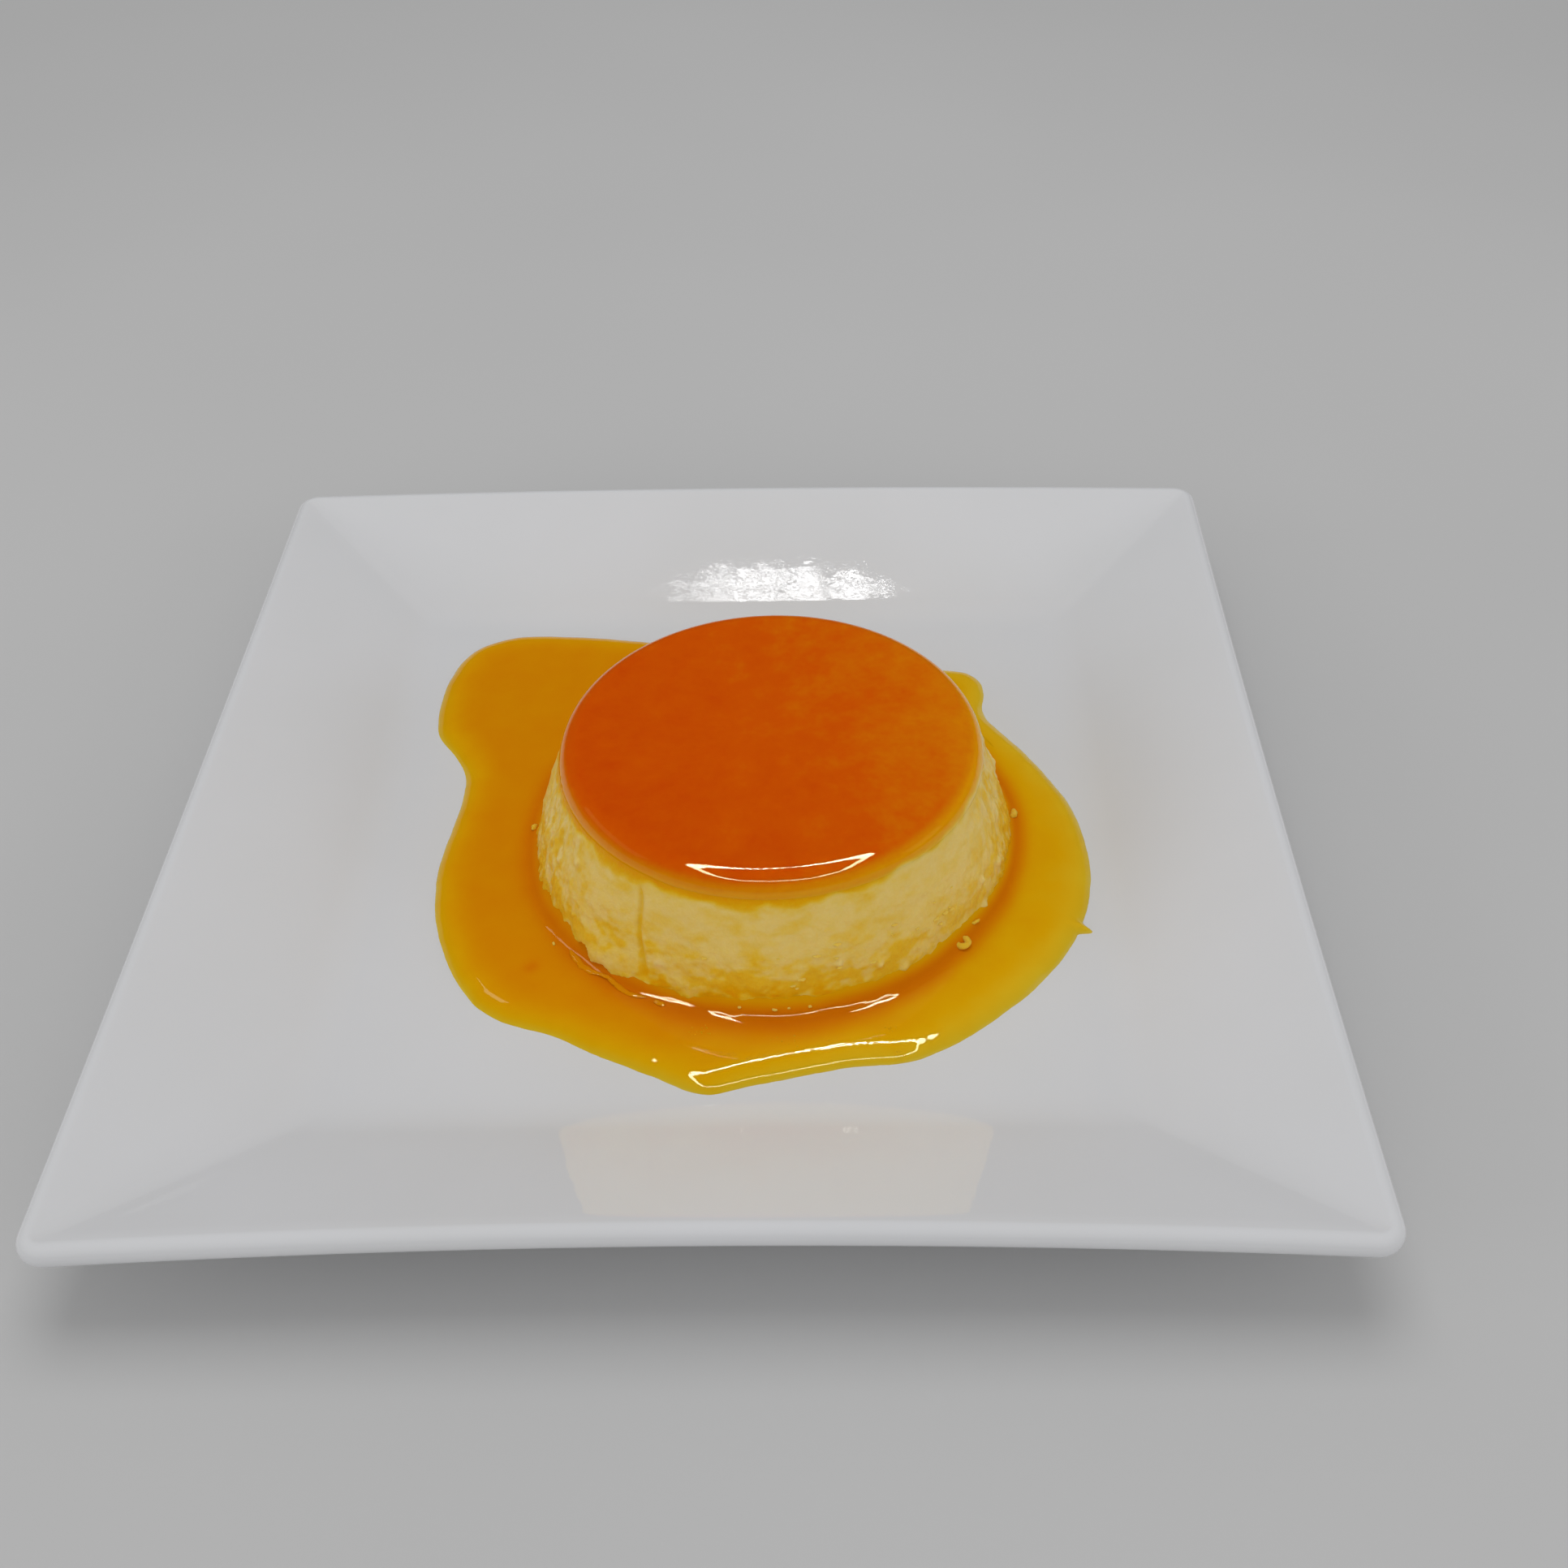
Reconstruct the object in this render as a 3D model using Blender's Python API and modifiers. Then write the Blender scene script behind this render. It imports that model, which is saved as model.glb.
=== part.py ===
"""Creme caramel turned out on a square white dessert plate.

Metres, +Z up. The origin is on the table under the middle of the plate, +X is the
plate's right side and +Y its far side. Bearings are turned from +X towards +Y.
"""

import math
from bisect import bisect_right

import bmesh
import bpy
from mathutils import Matrix, Vector

MM = 0.001
GAP = 0.3 * MM  # left between solids that touch

# Plate: a flat well, a sloping rim of four bowed panels and a round lip.
PLATE_HALF = 100 * MM  # middle to side, measured at the corners
SIDE_BOW_IN = 1.4 * MM  # how far the middle of a side is drawn in
SIDE_BOW_UP = 2.0 * MM  # how far it is lifted above the corners
LIP_RADIUS = 2 * MM  # half the thickness of the porcelain
LIP_HEIGHT = 15.5 * MM  # centre line of the lip at the corners
WELL_HALF = 67 * MM  # where the well turns up into the rim
WELL_FLOOR = 6 * MM
WELL_TURN = 4 * MM  # half the width of that turn
OUTLINE_CORNER = 4.5 * MM
MITRE_CORNER = 1.5 * MM  # where two rim panels meet
WELL_CORNER = 3 * MM
FOOT_OUTER = 62.5 * MM
FOOT_INNER = 58 * MM
FOOT_CORNER = 6 * MM
FOOT_LIFT = 0.8 * MM  # height where the foot runs out into the underside
FOOT_RECESS = 2 * MM
SIDE_STEPS = 12
CORNER_STEPS = 4
LIP_STEPS = 8

# Flan: the custard with the layer that the caramel has soaked on top.
FLAN_X = 7.7 * MM
FLAN_Y = -2 * MM
FLAN_FOOT = WELL_FLOOR + GAP
FLAN_TOP = 31.2 * MM
FOOT_RADIUS = 44.3 * MM
SHOULDER_RADIUS = 37.8 * MM
SHOULDER_ROUND = 3.8 * MM  # rounded top edge, as deep as the soaked layer
BULGE = 0.3 * MM  # how far the wall stands out between foot and shoulder
# Waves round the foot, where it left the mould: count, depth and phase in degrees.
FOOT_WAVES = ((1, 0.6 * MM, -135), (3, 0.3 * MM, 25), (5, 0.25 * MM, 110), (11, 0.12 * MM, 0))
FLAN_STEPS = 72
WALL_RINGS = 8
SHOULDER_STEPS = 6

# Caramel sauce: the pool that has run out round the flan's foot.
POOL_LEVEL = 2 * MM  # above the well's floor
POOL_CLIMB = 0.8 * MM  # how much higher it stands against the custard
CLIMB_WIDTH = 4 * MM
POOL_BEARINGS = 120
# The pool's edge: bearing from the flan's axis in degrees, and distance from it in mm.
POOL_EDGE = (
    (0, 57.5), (20, 54.5), (40, 54), (45, 59.5), (50, 62.5), (60, 58), (76, 54),
    (92, 55), (105, 60), (115, 66.5), (124, 75), (132, 83.5), (138, 86), (144, 83.5),
    (156, 73.5), (160, 66.5), (165, 62), (177, 60.5), (190, 62.5), (217, 65), (224, 64),
    (232, 60.5), (240, 59.5), (252, 60), (260, 61.5), (268, 59), (282, 57.5),
    (294, 59.5), (311, 59), (336, 59.5),
)  # fmt: skip
# How the pool rounds down at that edge: distance in from the edge, share of the depth.
EDGE_ROUND = ((4.5 * MM, 0.97), (2.4 * MM, 0.8), (1.0 * MM, 0.5), (0.25 * MM, 0.22))


def clear_scene():
    for thing in list(bpy.data.objects):
        bpy.data.objects.remove(thing)


def material(name, colour, roughness, coat=0.0):
    made = bpy.data.materials.new(name)
    made.use_nodes = True
    shader = made.node_tree.nodes["Principled BSDF"]
    shader.inputs["Base Color"].default_value = (*colour, 1)
    shader.inputs["Roughness"].default_value = roughness
    shader.inputs["Metallic"].default_value = 0
    shader.inputs["Coat Weight"].default_value = coat
    return made


def place(mesh, name, collection, finish):
    """A smooth object of this mesh, keeping creases sharper than 40 degrees."""
    mesh.materials.append(finish)
    mesh.shade_smooth()
    mesh.set_sharp_from_angle(angle=math.radians(40))
    thing = bpy.data.objects.new(name, mesh)
    collection.objects.link(thing)
    return thing


def lofted_mesh(name, rings, closed=False):
    """Skins a row of unlike rings with equal counts of points. The row's two ends are
    capped, or joined to each other when the section is closed."""
    mesh = bpy.data.meshes.new(name)
    work = bmesh.new()
    rows = [[work.verts.new(point) for point in ring] for ring in rings]
    pairs = list(zip(rows, rows[1:]))
    if closed:
        pairs.append((rows[-1], rows[0]))
    else:
        work.faces.new(rows[0])
        work.faces.new(rows[-1])
    for row, following in pairs:
        for i in range(len(row)):
            j = (i + 1) % len(row)
            work.faces.new((row[i], row[j], following[j], following[i]))
    bmesh.ops.recalc_face_normals(work, faces=work.faces)
    work.to_mesh(mesh)
    work.free()
    return mesh


def bowed_square(half, height, corner, lift):
    """A ring round the plate. lift is the share of the lip's bow that its sides have."""
    straight = half - corner
    ring = []
    for side in range(4):
        turn = Matrix.Rotation(side * math.pi / 2, 3, "Z")
        for step in range(SIDE_STEPS + 1):
            along = 2 * step / SIDE_STEPS - 1
            bow = lift * (1 - along**2)
            out = half - SIDE_BOW_IN * bow
            ring.append(turn @ Vector((straight * along, -out, height + SIDE_BOW_UP * bow)))
        for step in range(1, CORNER_STEPS):
            angle = math.pi / 2 * (step / CORNER_STEPS - 1)
            x = straight + corner * math.cos(angle)
            y = -straight + corner * math.sin(angle)
            ring.append(turn @ Vector((x, y, height)))
    return ring


def rim_slope():
    """Slope of the line from the well's edge that just touches the top of the lip."""
    run = PLATE_HALF - LIP_RADIUS - WELL_HALF
    rise = LIP_HEIGHT - WELL_FLOOR
    return math.atan2(rise, run) + math.asin(LIP_RADIUS / math.hypot(run, rise))


def between(start, end, steps):
    """Evenly spaced tuples from start to end, leaving out the start."""
    for step in range(1, steps + 1):
        share = step / steps
        yield tuple(a + (b - a) * share for a, b in zip(start, end))


def plate_rings():
    """From the middle of the well, over the lip and back under to the foot. Each is
    (half width, height, corner radius, share of the bow)."""
    slope = rim_slope()
    lip_half = PLATE_HALF - LIP_RADIUS
    well = (WELL_HALF - WELL_TURN, WELL_FLOOR, WELL_CORNER, 0)
    yield well
    turn_steps = 4
    turn_lift = WELL_TURN / (lip_half - WELL_HALF)
    for step in range(1, turn_steps + 1):
        share = step / turn_steps
        half = well[0] + 2 * WELL_TURN * share
        height = WELL_FLOOR + WELL_TURN * math.tan(slope) * share**2
        last = (half, height, WELL_CORNER, turn_lift * share**2)
        yield last
    top_half = lip_half - LIP_RADIUS * math.sin(slope)
    top_height = LIP_HEIGHT + LIP_RADIUS * math.cos(slope)
    yield from between(last, (top_half, top_height, MITRE_CORNER, 1), 4)
    for step in range(1, LIP_STEPS + 1):
        angle = slope + math.pi * (0.5 - step / LIP_STEPS)
        half = lip_half + LIP_RADIUS * math.cos(angle)
        height = LIP_HEIGHT + LIP_RADIUS * math.sin(angle)
        last = (half, height, max(MITRE_CORNER, OUTLINE_CORNER - PLATE_HALF + half), 1)
        yield last
    foot_run = (last[1] - FOOT_LIFT) / math.tan(slope)
    yield from between(last, (last[0] - foot_run, FOOT_LIFT, FOOT_CORNER, 0), 3)
    yield FOOT_OUTER, 0, FOOT_CORNER, 0
    yield FOOT_INNER, 0, FOOT_CORNER, 0
    yield FOOT_INNER - FOOT_RECESS / 4, FOOT_RECESS, FOOT_CORNER, 0


def build_plate(collection):
    mesh = lofted_mesh("plate", [bowed_square(*ring) for ring in plate_rings()])
    place(mesh, "plate", collection, material("porcelain", (0.78, 0.78, 0.78), 0.12))


def wall_radius(bearing, height):
    """Distance of the custard's wall from the flan's axis. The wall bulges a little and
    is wavy towards the foot."""
    share = (height - FLAN_FOOT) / (FLAN_TOP - SHOULDER_ROUND - FLAN_FOOT)
    radius = FOOT_RADIUS + (SHOULDER_RADIUS - FOOT_RADIUS) * share
    radius += BULGE * math.sin(math.pi * share)
    for count, depth, phase in FOOT_WAVES:
        radius += depth * (1 - share) * math.sin(math.radians(count * bearing + phase))
    return radius


def round_ring(radius_at, height, steps):
    """A ring round the flan's axis, whose radius depends on the bearing."""
    ring = []
    for step in range(steps):
        bearing = 360 * step / steps
        angle = math.radians(bearing)
        radius = radius_at(bearing)
        ring.append(Vector((radius * math.cos(angle), radius * math.sin(angle), height)))
    return ring


def stand_on_axis(thing):
    thing.location = (FLAN_X, FLAN_Y, 0)


def build_custard(collection):
    top = FLAN_TOP - SHOULDER_ROUND - GAP
    pool_top = WELL_FLOOR + POOL_LEVEL + POOL_CLIMB
    heights = [FLAN_FOOT] + [
        pool_top + (top - pool_top) * step / WALL_RINGS for step in range(WALL_RINGS + 1)
    ]
    rings = [
        round_ring(lambda bearing: wall_radius(bearing, height), height, FLAN_STEPS)
        for height in heights
    ]
    finish = material("custard", (0.80, 0.55, 0.15), 0.45)
    stand_on_axis(place(lofted_mesh("custard", rings), "custard", collection, finish))


def build_caramel_top(collection):
    """The soaked layer: a turned disc with a rounded upper edge."""
    core = SHOULDER_RADIUS - SHOULDER_ROUND
    bottom = FLAN_TOP - SHOULDER_ROUND
    profile = [(0, FLAN_TOP)]
    for step in range(SHOULDER_STEPS + 1):
        angle = math.pi / 2 * (1 - step / SHOULDER_STEPS)
        x = core + SHOULDER_ROUND * math.cos(angle)
        profile.append((x, bottom + SHOULDER_ROUND * math.sin(angle)))
    profile.append((0, bottom))
    mesh = bpy.data.meshes.new("caramel_top")
    edges = [(i, i + 1) for i in range(len(profile) - 1)]
    mesh.from_pydata([(x, 0, z) for x, z in profile], edges, [])
    finish = material("caramel_top", (0.72, 0.14, 0.01), 0.08, coat=1.0)
    disc = place(mesh, "caramel_top", collection, finish)
    screw = disc.modifiers.new("turned", "SCREW")
    screw.axis = "Z"
    screw.steps = screw.render_steps = FLAN_STEPS
    screw.use_merge_vertices = True
    screw.merge_threshold = 0.01 * MM
    screw.use_smooth_shade = True
    stand_on_axis(disc)


def pool_reach(bearing):
    """The pool's edge at any bearing, on a smooth closed curve through POOL_EDGE."""
    count = len(POOL_EDGE)
    start = bisect_right([entry[0] for entry in POOL_EDGE], bearing) - 1
    near = []
    for i in range(start - 1, start + 3):
        turns, entry = divmod(i, count)
        near.append((POOL_EDGE[entry][0] + 360 * turns, POOL_EDGE[entry][1] * MM))
    (b0, r0), (b1, r1), (b2, r2), (b3, r3) = near
    width = b2 - b1
    slope1 = (r2 - r0) / (b2 - b0) * width
    slope2 = (r3 - r1) / (b3 - b1) * width
    t = (bearing - b1) / width
    return (
        (2 * t**3 - 3 * t**2 + 1) * r1
        + (t**3 - 2 * t**2 + t) * slope1
        + (3 * t**2 - 2 * t**3) * r2
        + (t**3 - t**2) * slope2
    )


def build_sauce(collection):
    """A closed section swept round the flan: up the custard's wall, out over the pool,
    down its rounded edge and back along the well's floor."""
    floor = WELL_FLOOR + GAP
    level = WELL_FLOOR + POOL_LEVEL
    depth = level - floor
    climb_top = level + POOL_CLIMB

    def by_wall(out, height):
        return round_ring(
            lambda bearing: wall_radius(bearing, height) + GAP + out, height, POOL_BEARINGS
        )

    rings = [
        by_wall(0, floor),
        by_wall(0, climb_top),
        by_wall(CLIMB_WIDTH / 3, level + POOL_CLIMB / 4),
        by_wall(CLIMB_WIDTH, level),
    ]
    for inset, share in EDGE_ROUND:
        height = floor + depth * share
        rings.append(round_ring(lambda bearing: pool_reach(bearing) - inset, height, POOL_BEARINGS))
    rings.append(round_ring(pool_reach, floor, POOL_BEARINGS))
    finish = material("caramel_sauce", (0.74, 0.28, 0.01), 0.06, coat=1.0)
    mesh = lofted_mesh("caramel_sauce", rings, closed=True)
    stand_on_axis(place(mesh, "caramel_sauce", collection, finish))


def main():
    clear_scene()
    collection = bpy.data.collections.new("creme_caramel_on_plate")
    bpy.context.scene.collection.children.link(collection)
    build_plate(collection)
    build_custard(collection)
    build_caramel_top(collection)
    build_sauce(collection)


main()
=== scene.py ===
"""Looks of the creme caramel flan on its square plate.

Everything is in metres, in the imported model's frame: +Z up, the origin on the table under
the middle of the plate, the flan's axis a little right of it. A bearing is an angle round
the flan's axis in degrees, turned from +X towards +Y, so 270 faces the camera.
"""

import math

import bmesh
import bpy
import numpy as np
from mathutils import Matrix, Vector, noise


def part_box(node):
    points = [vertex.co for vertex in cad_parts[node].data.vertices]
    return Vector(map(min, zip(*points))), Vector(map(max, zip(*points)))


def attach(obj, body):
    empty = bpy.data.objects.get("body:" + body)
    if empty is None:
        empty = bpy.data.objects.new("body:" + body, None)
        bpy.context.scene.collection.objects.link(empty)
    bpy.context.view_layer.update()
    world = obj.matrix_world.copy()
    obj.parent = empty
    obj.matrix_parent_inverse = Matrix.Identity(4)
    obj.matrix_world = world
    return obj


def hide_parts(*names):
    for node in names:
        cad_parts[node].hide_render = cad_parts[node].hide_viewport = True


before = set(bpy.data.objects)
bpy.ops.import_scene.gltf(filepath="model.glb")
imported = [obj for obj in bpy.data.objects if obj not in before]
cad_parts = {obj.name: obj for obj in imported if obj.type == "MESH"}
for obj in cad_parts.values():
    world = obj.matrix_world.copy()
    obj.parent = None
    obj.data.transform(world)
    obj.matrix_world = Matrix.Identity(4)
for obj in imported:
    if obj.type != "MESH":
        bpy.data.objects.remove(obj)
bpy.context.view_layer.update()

MM = 0.001
SHARP_ANGLE = math.radians(50)  # an edge that bends more than this is sharp

# Plate: the CAD's driving dimensions again, at a finer step.
PLATE_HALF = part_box("plate")[1].x
SIDE_BOW_IN = 1.4 * MM
SIDE_BOW_UP = 2.0 * MM
LIP_RADIUS = 2 * MM
LIP_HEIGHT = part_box("plate")[1].z - SIDE_BOW_UP - LIP_RADIUS
WELL_HALF = 67 * MM
WELL_FLOOR = 6 * MM
WELL_TURN = 4 * MM
OUTLINE_CORNER = 4.5 * MM
MITRE_CORNER = 1.5 * MM
WELL_CORNER = 3 * MM
FOOT_OUTER = 62.5 * MM
FOOT_INNER = 58 * MM
FOOT_CORNER = 6 * MM
FOOT_LIFT = 0.8 * MM
FOOT_RECESS = 2 * MM
SIDE_STEPS = 48
CORNER_STEPS = 8

# Flan: measured off its two nodes.
TOP_LOW, TOP_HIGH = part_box("caramel_top")
AXIS = np.array([(TOP_LOW.x + TOP_HIGH.x) / 2, (TOP_LOW.y + TOP_HIGH.y) / 2])
SHOULDER_RADIUS = (TOP_HIGH.x - TOP_LOW.x) / 2
SHOULDER_ROUND = TOP_HIGH.z - TOP_LOW.z
SEAM = TOP_LOW.z  # height where the soaked layer sits on the custard
FOOT_RADIUS = 44.3 * MM
BULGE = 0.3 * MM
FOOT_WAVES = ((1, 0.6 * MM, -135), (3, 0.3 * MM, 25), (5, 0.25 * MM, 110), (11, 0.12 * MM, 0))
WALL_HEIGHT = SEAM - WELL_FLOOR
ROUND_LENGTH = SHOULDER_ROUND * math.pi / 2
COLUMNS = 960  # steps round the flan
BEARINGS = np.arange(COLUMNS) * 360 / COLUMNS
WALL_ROWS = 80
ROUND_ROWS = 26
TOP_ROWS = 40
TOP_SHARE = 0.985  # how much of the way to the middle of the top its rows reach
TEAR_BEARING = 229  # middle of the torn skin along the foot
TEAR_HALF = 16  # degrees of it to either side
CREASE_BEARING = 235.8  # where the crease begins
CREASE_HIGH = 26 * MM
CREASE_DROP = 17 * MM
KNOB_HEIGHT = 0.55 * MM

# Sauce.
EDGE_RADIUS = 4.8 * MM  # of the rounded edge of the pool
EDGE_WIDTH = 3.7 * MM  # how far in from its edge the pool is full depth
POOL_LEVEL = WELL_FLOOR + EDGE_RADIUS - math.sqrt(EDGE_RADIUS**2 - EDGE_WIDTH**2)
POOL_UNDER = WELL_FLOOR - 0.1 * MM  # underside of the pool, just inside the plate
CLIMB_SLOPE = 0.95  # the meniscus, as steep as this against the custard
CLIMB_REACH = 1.85 * MM  # and levelling out this far from it
CLIMB_FADE = 0.38 * MM  # over a bend of about this length
SPIKE_BEARING = 335.8  # where one thin point sticks out of the pool's edge
SPIKE_LENGTH = 2.3 * MM
STREAK_BEARING = 219.5  # a darker streak across the pool
STREAK_RADIUS = 53.4 * MM
MIDDLE_ROWS = 9  # steps between the rows near the wall and those near the edge
# Rows of the pool: in from its edge, and out from the custard's wall.
EDGE_ROWS = (0, 0.02, 0.07, 0.15, 0.3, 0.5, 0.75, 1.05, 1.4, 1.8, 2.2, 2.7, 3.3, 4.1, 5.2)
NEAR_ROWS = (-0.9, -0.5, 0, 0.4, 0.8, 1.1, 1.35, 1.6, 1.85, 2.1, 2.4, 2.8, 3.4, 4.2, 5.2)

# Camera and surroundings.
CAMERA_PLACE = Vector((0.01732, -0.24687, 0.23579))
CAMERA_PITCH = math.radians(41.512)
CAMERA_YAW = math.radians(0.507)
CAMERA_ROLL = math.radians(0.862)
CAMERA_LENS = 41.34
CAMERA_SENSOR = 36
CAMERA_SHIFT = -0.01895
ROOM_LIGHT = 0.42
ROOM_MIRRORED = 0.012  # what the food and plate mirror of the room
FLOOR_HALF = 3


# ---------------------------------------------------------------- helpers


def smooth_step(low, high, value):
    t = np.clip((value - low) / (high - low), 0, 1)
    return t * t * (3 - 2 * t)


def turned(bearing, centre):
    """Difference between two bearings, from -180 to 180."""
    return (np.asarray(bearing) - centre + 180) % 360 - 180


def bell(bearing, centre, half):
    """1 at this bearing, falling smoothly to 0 half a width away on either side."""
    t = np.clip(np.abs(turned(bearing, centre)) / half, 0, 1)
    return 0.5 + 0.5 * np.cos(math.pi * t)


def lumps(points, size, seed, octaves=3):
    """Smooth noise from about -1 to 1 at these points. size is one number or one per axis."""
    scaled = points.reshape(-1, 3) / np.asarray(size) + seed * 17.3
    values = [noise.fractal(p, 0.7, 2.0, octaves) for p in scaled.tolist()]
    return np.array(values).reshape(points.shape[:-1])


def weave(rows, caps=(None, None), closed=False):
    """Points and faces over rows of points that each run once round. A cap is a point that
    closes that end with a fan, and closed joins the last row to the first."""
    count, columns, _ = rows.shape
    points = rows.reshape(-1, 3).tolist()
    step = np.arange(columns)
    follow = np.roll(step, -1)
    faces = []
    for row in range(count if closed else count - 1):
        a = row * columns
        b = (row + 1) % count * columns
        faces += np.stack([a + step, a + follow, b + follow, b + step], 1).tolist()
    for start, centre in zip((0, (count - 1) * columns), caps):
        if centre is not None:
            points.append(tuple(centre))
            tip = len(points) - 1
            faces += [(start + i, start + j, tip) for i, j in zip(step.tolist(), follow.tolist())]
    return points, faces


def skin(name, *parts):
    """One mesh of these woven parts, with its faces turned outwards."""
    points, faces = [], []
    for part_points, part_faces in parts:
        start = len(points)
        points += part_points
        faces += [[start + corner for corner in face] for face in part_faces]
    mesh = bpy.data.meshes.new(name)
    mesh.from_pydata(points, [], faces)
    work = bmesh.new()
    work.from_mesh(mesh)
    bmesh.ops.recalc_face_normals(work, faces=work.faces)
    work.to_mesh(mesh)
    work.free()
    mesh.shade_smooth()
    mesh.set_sharp_from_angle(angle=SHARP_ANGLE)
    return mesh


def paint(mesh, name, values):
    """Stores one number for each point, which the material reads."""
    made = mesh.attributes.new(name, "FLOAT", "POINT")
    padded = np.zeros(len(mesh.vertices), np.float32)
    flat = np.asarray(values, np.float32).reshape(-1)
    padded[: len(flat)] = flat
    padded[len(flat) :] = flat[-1]
    made.data.foreach_set("value", padded)


def piece(mesh, finish, slot, *replaced):
    mesh.materials.append(finish)
    thing = bpy.data.objects.new(mesh.name, mesh)
    bpy.context.scene.collection.objects.link(thing)
    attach(thing, "root")
    if replaced:
        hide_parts(*replaced)
    return thing


def group(name, things):
    """A collection of these pieces, for a light to fall on."""
    made = bpy.data.collections.new(name)
    for thing in things:
        made.objects.link(thing)
    return made


# ---------------------------------------------------------------- materials


class Nodes:
    """A short way to write the nodes of a material or a light."""

    def __init__(self, owner):
        owner.use_nodes = True
        self.owner = owner
        self.tree = owner.node_tree
        kind = "Principled BSDF" if isinstance(owner, bpy.types.Material) else "Emission"
        self.shader = self.tree.nodes[kind]

    def add(self, kind, **settings):
        node = self.tree.nodes.new("ShaderNode" + kind)
        for key, value in settings.items():
            setattr(node, key, value)
        return node

    def link(self, source, target):
        self.tree.links.new(source, target)

    def set(self, **values):
        for key, value in values.items():
            self.shader.inputs[key.replace("_", " ").title()].default_value = value

    def face_place(self, stretch):
        """A place on a light's face, from 0 to these numbers along and across."""
        mapping = self.add("Mapping")
        mapping.inputs["Scale"].default_value = (*stretch, 1)
        self.link(self.add("NewGeometry").outputs["Parametric"], mapping.inputs["Vector"])
        return mapping.outputs["Vector"]

    def glow(self, value, low, high, dim, bright):
        """Strength of a light: dim where the value is low, bright where it is high."""
        node = self.add("MapRange")
        ends = {"From Min": low, "From Max": high, "To Min": dim, "To Max": bright}
        for key, number in ends.items():
            node.inputs[key].default_value = number
        self.link(value, node.inputs["Value"])
        self.link(node.outputs["Result"], self.shader.inputs["Strength"])

    def read(self, name):
        return self.add("Attribute", attribute_name=name).outputs["Fac"]

    def noise(self, size, detail=3):
        """Noise from 0 to 1 with lumps of this size in metres."""
        node = self.add("TexNoise")
        node.inputs["Scale"].default_value = 1 / size
        node.inputs["Detail"].default_value = detail
        self.link(self.add("TexCoord").outputs["Object"], node.inputs["Vector"])
        return node.outputs["Fac"]

    def math(self, operation, a, b):
        node = self.add("Math", operation=operation)
        for socket, value in zip(node.inputs, (a, b)):
            if isinstance(value, (int, float)):
                socket.default_value = value
            else:
                self.link(value, socket)
        return node.outputs[0]

    def sway(self, value, pattern, amount):
        """value plus a pattern from 0 to 1, centred on nothing, times amount."""
        centred = self.math("SUBTRACT", pattern, 0.5)
        return self.math("ADD", value, self.math("MULTIPLY", centred, amount))

    def spread(self, value, low, high):
        """A pattern from 0 to 1 spread over this range."""
        node = self.add("MapRange")
        node.inputs["To Min"].default_value = low
        node.inputs["To Max"].default_value = high
        self.link(value, node.inputs["Value"])
        return node.outputs["Result"]

    def ramp(self, value, stops):
        """A colour for each place along the way. stops are (place, colour)."""
        node = self.add("ValToRGB")
        ends = node.color_ramp.elements
        while len(ends) < len(stops):
            ends.new(0.5)
        for end, (place, colour) in zip(ends, stops):
            end.position = place
            end.color = (*colour, 1)
        self.link(value, node.inputs["Fac"])
        return node.outputs["Color"]

    def bumps(self, *layers):
        """Relief from (height socket, depth in metres) pairs."""
        normal = None
        for height, depth in layers:
            node = self.add("Bump")
            node.inputs["Distance"].default_value = depth
            self.link(height, node.inputs["Height"])
            if normal:
                self.link(normal, node.inputs["Normal"])
            normal = node.outputs["Normal"]
        self.link(normal, self.shader.inputs["Normal"])


SCATTER_DEPTH = 0.8 * MM  # how far light travels under the skin of the flan
# Tints of what is mirrored.
CUSTARD_GLINT = (1.0, 0.75, 0.1, 1.0)
CAP_GLINT = (0.65, 1.0, 0.55, 1.0)
SAUCE_GLINT = (0.75, 0.85, 0.55, 1.0)

# Colours of custard by how much caramel it has soaked up, as a share of SOAK_FULL.
SOAK_FULL = 1.25
SOAK_COLOURS = (
    (0.00, (0.86, 0.64, 0.21)),
    (0.12, (0.845, 0.59, 0.12)),
    (0.26, (0.84, 0.52, 0.03)),
    (0.38, (0.825, 0.425, 0.004)),
    (0.50, (0.82, 0.325, 0.002)),
    (0.64, (0.74, 0.205, 0.002)),
    (0.80, (0.71, 0.100, 0.001)),
    (1.00, (0.64, 0.055, 0.001)),
)


def custard_finish():
    nodes = Nodes(bpy.data.materials.new("custard"))
    soak = nodes.sway(nodes.read("soak"), nodes.noise(1.8 * MM, 3), 0.13)
    soak = nodes.sway(soak, nodes.noise(0.5 * MM, 3), 0.12)
    share = nodes.math("DIVIDE", soak, SOAK_FULL)
    nodes.link(nodes.ramp(share, SOAK_COLOURS), nodes.shader.inputs["Base Color"])
    nodes.link(nodes.spread(nodes.noise(1.6 * MM), 0.28, 0.50), nodes.shader.inputs["Roughness"])
    nodes.set(subsurface_weight=0.25, subsurface_scale=SCATTER_DEPTH)
    nodes.shader.inputs["Subsurface Radius"].default_value = (1.0, 0.6, 0.25)
    nodes.shader.inputs["IOR"].default_value = 1.3
    nodes.shader.inputs["Specular Tint"].default_value = CUSTARD_GLINT
    nodes.bumps((nodes.noise(0.45 * MM, 4), 0.05 * MM), (nodes.noise(1.8 * MM, 3), 0.16 * MM))
    return nodes.owner


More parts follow.
